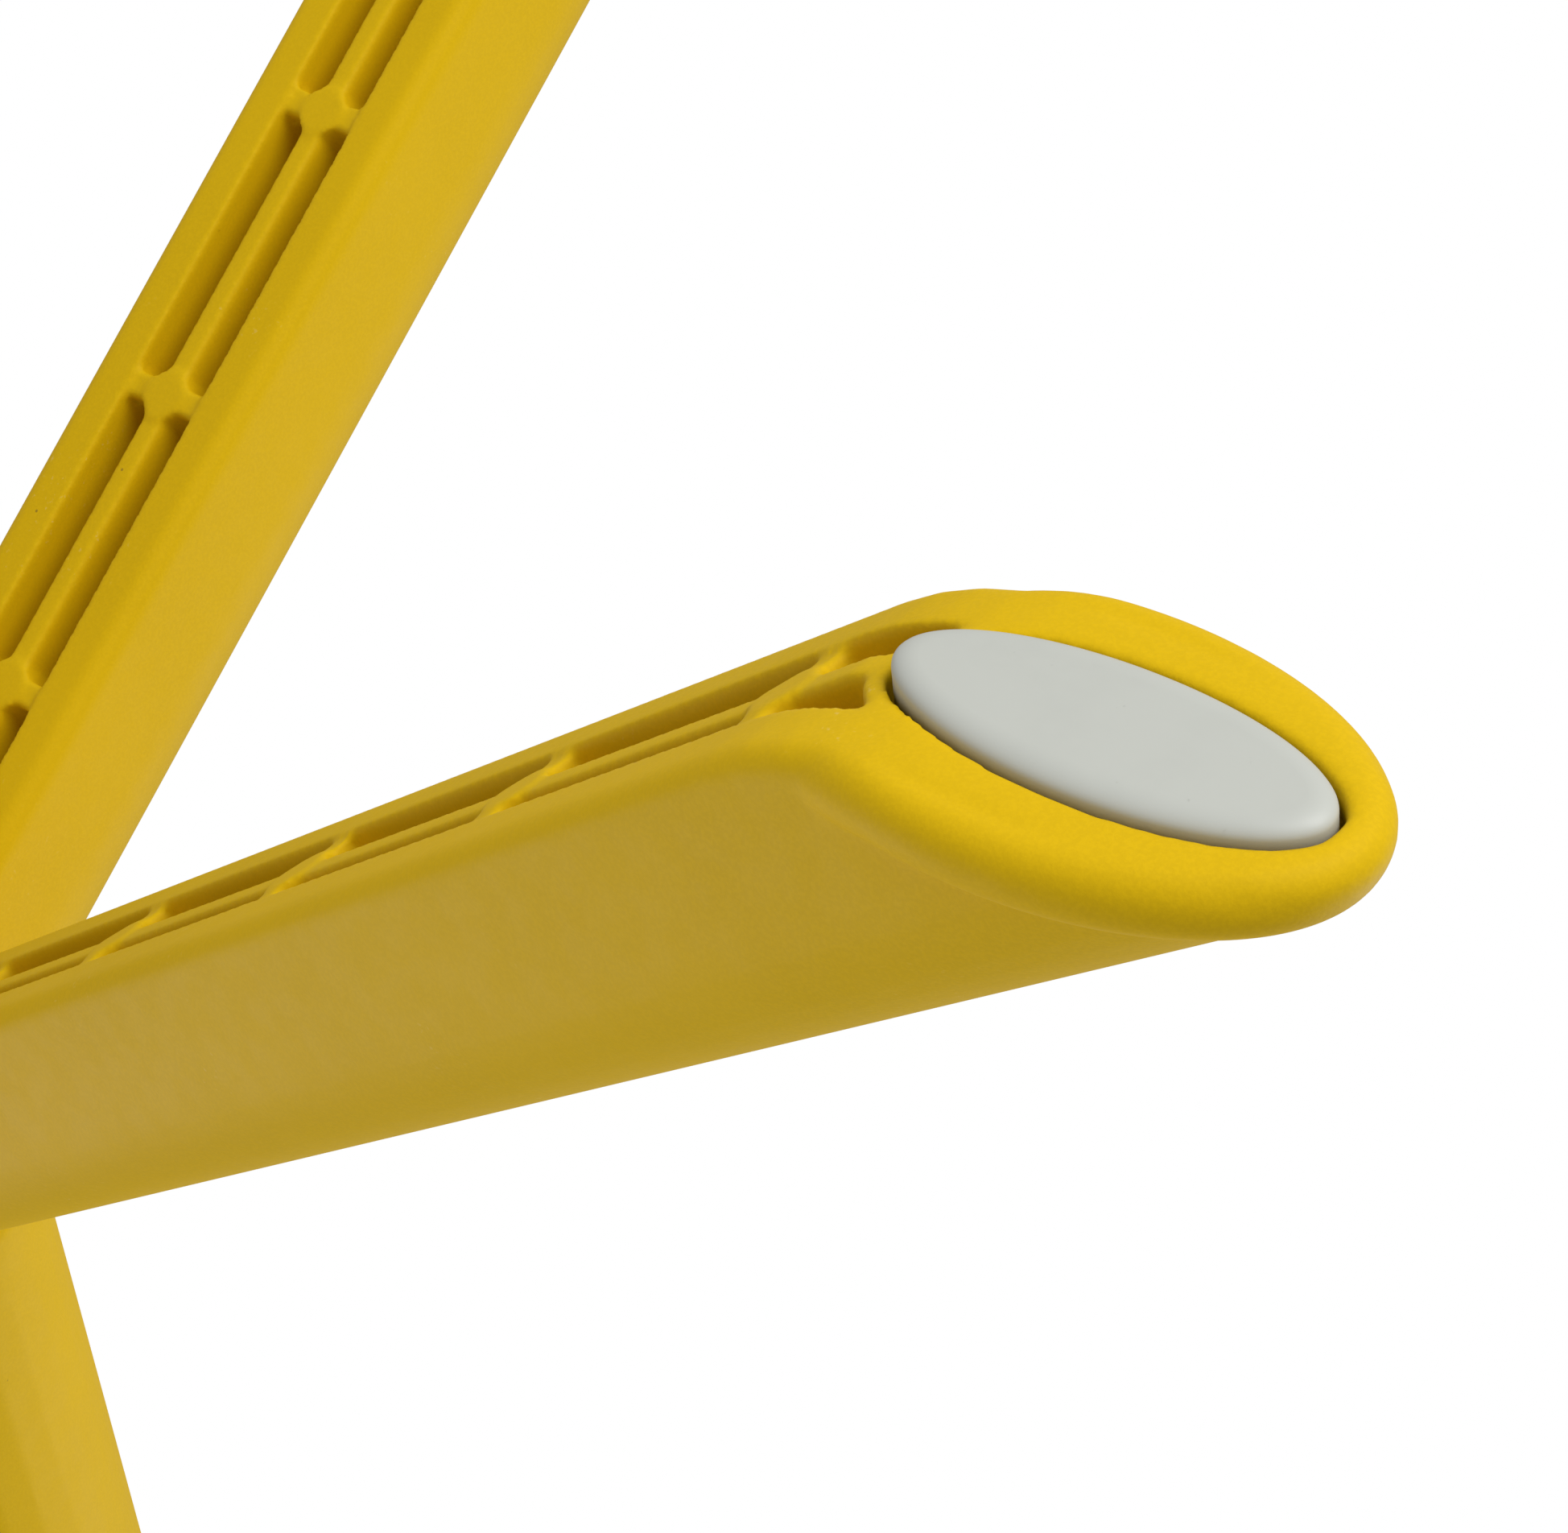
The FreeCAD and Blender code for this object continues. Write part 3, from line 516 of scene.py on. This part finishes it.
def thinned(mesh):
    """Thins a mesh where it is flat, to stay within the triangles that a piece may have."""
    holder = bpy.data.objects.new("thinned", mesh)
    bpy.context.scene.collection.objects.link(holder)
    mesh.calc_loop_triangles()
    count = len(mesh.loop_triangles)
    if count > MOST_TRIANGLES:
        fewer = holder.modifiers.new("thin", "DECIMATE")
        fewer.ratio = MOST_TRIANGLES / count
    graph = bpy.context.evaluated_depsgraph_get()
    made = bpy.data.meshes.new_from_object(holder.evaluated_get(graph))
    bpy.data.objects.remove(holder)
    made.shade_smooth()
    made.set_sharp_from_angle(angle=math.radians(50.0))
    return made


class BELTPOST_OT_foot_pads(bpy.types.Operator):
    """The four rubber pads that the post stands on."""
    bl_idname = "belt_post.foot_pads"
    bl_label = "Foot pads"

    def execute(self, context):
        for number in range(1, 5):
            make_pad(number)
        return {"FINISHED"}


def make_pad(number):
    """An oval pad with a rounded lower edge, flat where it meets the floor."""
    low, high = node_box("foot_pad_1")
    middle, long, short = (low.x + high.x) / 2, (high.x - low.x) / 2, (high.y - low.y) / 2
    radius = bpy.context.scene.belt_post_sizes.pad_round
    shape = bmesh.new()
    rings = [(0.0, PAD_TOP)]
    for step in range(PAD_ROUNDS + 1):
        turn = math.radians(90.0 * step / PAD_ROUNDS)
        rings.append((radius * (1.0 - math.cos(turn)), low.z + PAD_DROP * (1.0 - math.sin(turn))))
    loops = [oval_loop(shape, middle, long - inset, short - inset, height)
             for inset, height in rings]
    for lower, upper in zip(loops, loops[1:]):
        bmesh.ops.bridge_loops(shape, edges=lower + upper)
    bmesh.ops.triangle_fill(shape, edges=loops[0], use_beauty=True)
    bmesh.ops.triangle_fill(shape, edges=loops[-1], use_beauty=True)
    bmesh.ops.recalc_face_normals(shape, faces=shape.faces)
    quarter_turns = Matrix.Rotation(math.radians(90.0 * (number - 1)), 3, "Z")
    bmesh.ops.rotate(shape, verts=shape.verts, matrix=quarter_turns)
    piece = new_piece("rubber_pad_%d" % number, shape, "grey_rubber")
    for face in piece.data.polygons:
        face.use_smooth = abs(face.normal.z) < 0.999
    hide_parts("foot_pad_%d" % number)
    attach(piece, "post")


class BELTPOST_OT_post(bpy.types.Operator):
    """The tube and its plugs."""
    bl_idname = "belt_post.post"
    bl_label = "Post tube"

    def execute(self, context):
        dress_nodes(["post_tube", "tube_lower_plug", "head_adaptor"])
        return {"FINISHED"}


class BELTPOST_OT_head(bpy.types.Operator):
    """The head with its cap, slot trim, receivers and belt cassette."""
    bl_idname = "belt_post.head"
    bl_label = "Head"

    def execute(self, context):
        dressed = {"base_moulding", "hub_bolt", "hub_washer", "neck_collar", "post_tube",
                   "tube_lower_plug", "head_adaptor"}
        rest = [name for name in sorted(frame["nodes"])
                if name not in dressed | {"belt_roll", "belt_lead", "belt_end_tab"}
                and not name.startswith("foot_pad")]
        dress_nodes(rest)
        return {"FINISHED"}


class BELTPOST_OT_belt(bpy.types.Operator):
    """The woven belt, on its spool and out to the belt's end piece."""
    bl_idname = "belt_post.belt"
    bl_label = "Belt"

    def execute(self, context):
        make_wound_belt()
        make_belt()
        return {"FINISHED"}


def make_wound_belt():
    """The wound belt, whose turns show as fine steps on its two faces."""
    low, high = node_box("belt_roll")
    barrel = node_box("spool_lower_bush")[1].x + 3.0 * MM
    turns = int((high.x - barrel) / BELT_THICKNESS)
    shape = bmesh.new()
    profile = []
    for side, level in ((1.0, low.z), (-1.0, high.z)):
        rim = []
        for turn in range(turns):
            inner = barrel + BELT_THICKNESS * turn
            edge = level + side * WOUND_STEP * (turn % 2)
            rim += [(inner, edge), (inner + BELT_THICKNESS, edge)]
        profile += rim if side > 0 else rim[::-1]
    verts = [shape.verts.new((radius, 0.0, height)) for radius, height in profile]
    edges = [shape.edges.new((first, second))
             for first, second in zip(verts, verts[1:] + verts[:1])]
    bmesh.ops.spin(shape, geom=verts + edges, axis=(0, 0, 1), cent=(0, 0, 0), steps=72,
                   angle=math.tau, use_merge=True)
    bmesh.ops.remove_doubles(shape, verts=shape.verts, dist=0.001 * MM)
    bmesh.ops.recalc_face_normals(shape, faces=shape.faces)
    piece = new_piece("wound_belt", shape, "belt_webbing")
    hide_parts("belt_roll")
    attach(piece, "spool")


def new_piece(name, shape, finish):
    mesh = bpy.data.meshes.new(name)
    shape.to_mesh(mesh)
    shape.free()
    piece = bpy.data.objects.new(name, mesh)
    bpy.context.scene.collection.objects.link(piece)
    dress(piece, finish)
    return piece


def make_belt():
    """The run of belt from the wound belt through the slot to the end piece."""
    low, high = node_box("belt_lead")
    tab_low, tab_high = node_box("belt_end_tab")
    span = tab_high.x - BELT_START
    shape = bmesh.new()
    bmesh.ops.create_grid(shape, x_segments=44, y_segments=24, size=0.5)
    bmesh.ops.scale(shape, verts=shape.verts, vec=(span, high.z - low.z, 1.0))
    bmesh.ops.rotate(shape, verts=shape.verts, matrix=Matrix.Rotation(math.pi / 2, 3, "X"))
    bmesh.ops.translate(shape, verts=shape.verts,
                        vec=(BELT_START + span / 2, 0.0, (low.z + high.z) / 2))
    for vert in shape.verts:
        vert.co.y = belt_lane(vert.co.x)
    shape.normal_update()
    bmesh.ops.solidify(shape, geom=list(shape.faces), thickness=BELT_CLOTH)
    bmesh.ops.recalc_face_normals(shape, faces=shape.faces)
    straight = [vert.co.y for vert in shape.verts if vert.co.x > GUIDE_AT + 1.0 * MM]
    bmesh.ops.translate(shape, verts=shape.verts,
                        vec=(0.0, -(min(straight) + max(straight)) / 2, 0.0))
    piece = new_piece("belt", shape, "belt_webbing")
    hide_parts("belt_lead", "belt_end_tab")
    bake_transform(piece)
    belt_length(tab_high.x)


def belt_lane(along):
    """How far to the side the belt's centre line lies: over a guide post, then straight out."""
    if along >= GUIDE_AT:
        return 0.0
    if along >= GUIDE_MEETS:
        return math.sqrt(GUIDE_ROUND ** 2 - (GUIDE_AT - along) ** 2) - GUIDE_ROUND
    return belt_lane(GUIDE_MEETS) - (GUIDE_MEETS - along) * BELT_LEAN


def belt_length(last):
    """Length of the belt's centre line from the wound belt to its end."""
    stops = [BELT_START + (last - BELT_START) * step / 200 for step in range(201)]
    line = [(stop, belt_lane(stop)) for stop in stops]
    return sum(math.dist(first, second) for first, second in zip(line, line[1:]))


class BELTPOST_OT_stage(bpy.types.Operator):
    """Floor, soft light and camera."""
    bl_idname = "belt_post.stage"
    bl_label = "Stage"

    def execute(self, context):
        make_floor()
        make_light()
        make_camera()
        return {"FINISHED"}


def make_floor():
    """A pale floor that is seen from above only."""
    shape = bmesh.new()
    bmesh.ops.create_grid(shape, x_segments=1, y_segments=1, size=12.0)
    mesh = bpy.data.meshes.new("floor")
    shape.to_mesh(mesh)
    shape.free()
    floor = bpy.data.objects.new("floor", mesh)
    bpy.context.scene.collection.objects.link(floor)
    board = Board("pale_floor")
    pale = board.node("ShaderNodeBsdfPrincipled", {}, {
        "Base Color": (0.80, 0.80, 0.79, 1.0), "Roughness": 0.9, "Specular IOR Level": 0.0,
        "Emission Color": (0.95, 0.95, 0.94, 1.0), "Emission Strength": 0.22})
    clear = board.node("ShaderNodeBsdfTransparent", {}, {})
    camera_ray = board.node("ShaderNodeLightPath", {}, {}, "Is Camera Ray")
    from_below = board.node("ShaderNodeNewGeometry", {}, {}, "Backfacing")
    seen = camera_ray * (1.0 - from_below)
    shown = board.node("ShaderNodeMixShader", {}, {0: seen, 1: clear, 2: pale})
    mesh.materials.append(board.close(shown))


def soft_lamp(name, place, aim, across, power):
    lamp = bpy.data.lights.new(name, "AREA")
    lamp.shape = "DISK"
    lamp.size = across
    lamp.energy = power
    lamp.cycles.use_multiple_importance_sampling = False
    holder = bpy.data.objects.new(name, lamp)
    holder.location = place
    holder.rotation_euler = (Vector(aim) - Vector(place)).to_track_quat("-Z", "Y").to_euler()
    holder.visible_camera = False
    bpy.context.scene.collection.objects.link(holder)


def make_light():
    world = bpy.data.worlds.new("studio")
    world.use_nodes = True
    tree = world.node_tree
    tree.nodes.clear()
    seen = tree.nodes.new("ShaderNodeBackground")
    seen.inputs["Color"].default_value = (1.0, 1.0, 1.0, 1.0)
    fill = tree.nodes.new("ShaderNodeBackground")
    fill.inputs["Color"].default_value = (1.0, 1.0, 1.0, 1.0)
    fill.inputs["Strength"].default_value = 0.48
    path = tree.nodes.new("ShaderNodeLightPath")
    mix = tree.nodes.new("ShaderNodeMixShader")
    out = tree.nodes.new("ShaderNodeOutputWorld")
    tree.links.new(path.outputs["Is Camera Ray"], mix.inputs[0])
    tree.links.new(fill.outputs[0], mix.inputs[1])
    tree.links.new(seen.outputs[0], mix.inputs[2])
    tree.links.new(mix.outputs[0], out.inputs["Surface"])
    bpy.context.scene.world = world
    bpy.context.scene.view_settings.view_transform = "Standard"
    soft_lamp("foot_lamp", (0.75, -0.35, -0.95), FOOT_AIM, 0.9, 11.0)
    soft_lamp("key_lamp", (1.2, -1.5, 2.2), POST_AIM, 1.4, 24.0)
    soft_lamp("back_lamp", (-1.6, 1.4, 1.6), POST_AIM, 1.4, 22.0)


def make_camera():
    camera = bpy.data.cameras.new("camera")
    camera.lens = VIEW_LENS
    camera.sensor_width = 36.0
    camera.clip_start = 0.01
    camera.clip_end = 50.0
    holder = bpy.data.objects.new("camera", camera)
    turn = Matrix((VIEW_RIGHT, VIEW_UP, VIEW_BACK)).transposed().to_4x4()
    holder.matrix_world = Matrix.Translation(VIEW_FROM) @ turn
    bpy.context.scene.collection.objects.link(holder)
    bpy.context.scene.camera = holder


class BELTPOST_PT_panel(bpy.types.Panel):
    """Lists the steps that build the post."""
    bl_label = "Belt Post"
    bl_space_type = "VIEW_3D"
    bl_region_type = "UI"
    bl_category = "Belt Post"

    def draw(self, context):
        for group in (context.scene.belt_post_sizes, context.scene.belt_post_colours):
            for name in group.bl_rna.properties.keys():
                if name not in ("name", "rna_type"):
                    self.layout.prop(group, name)
        for step in STEPS:
            self.layout.operator(step.bl_idname)


STEPS = (BELTPOST_OT_base, BELTPOST_OT_foot_pads, BELTPOST_OT_post, BELTPOST_OT_head,
         BELTPOST_OT_belt, BELTPOST_OT_stage)
CLASSES = (BeltPostSizes, BeltPostColours) + STEPS + (BELTPOST_PT_panel,)


def register():
    for item in CLASSES:
        bpy.utils.register_class(item)
    bpy.types.Scene.belt_post_sizes = bpy.props.PointerProperty(type=BeltPostSizes)
    bpy.types.Scene.belt_post_colours = bpy.props.PointerProperty(type=BeltPostColours)


def unregister():
    del bpy.types.Scene.belt_post_colours
    del bpy.types.Scene.belt_post_sizes
    for item in reversed(CLASSES):
        bpy.utils.unregister_class(item)


def main():
    register()
    for step in STEPS:
        group, name = step.bl_idname.split(".")
        getattr(getattr(bpy.ops, group), name)()


if __name__ == "__main__":
    main()
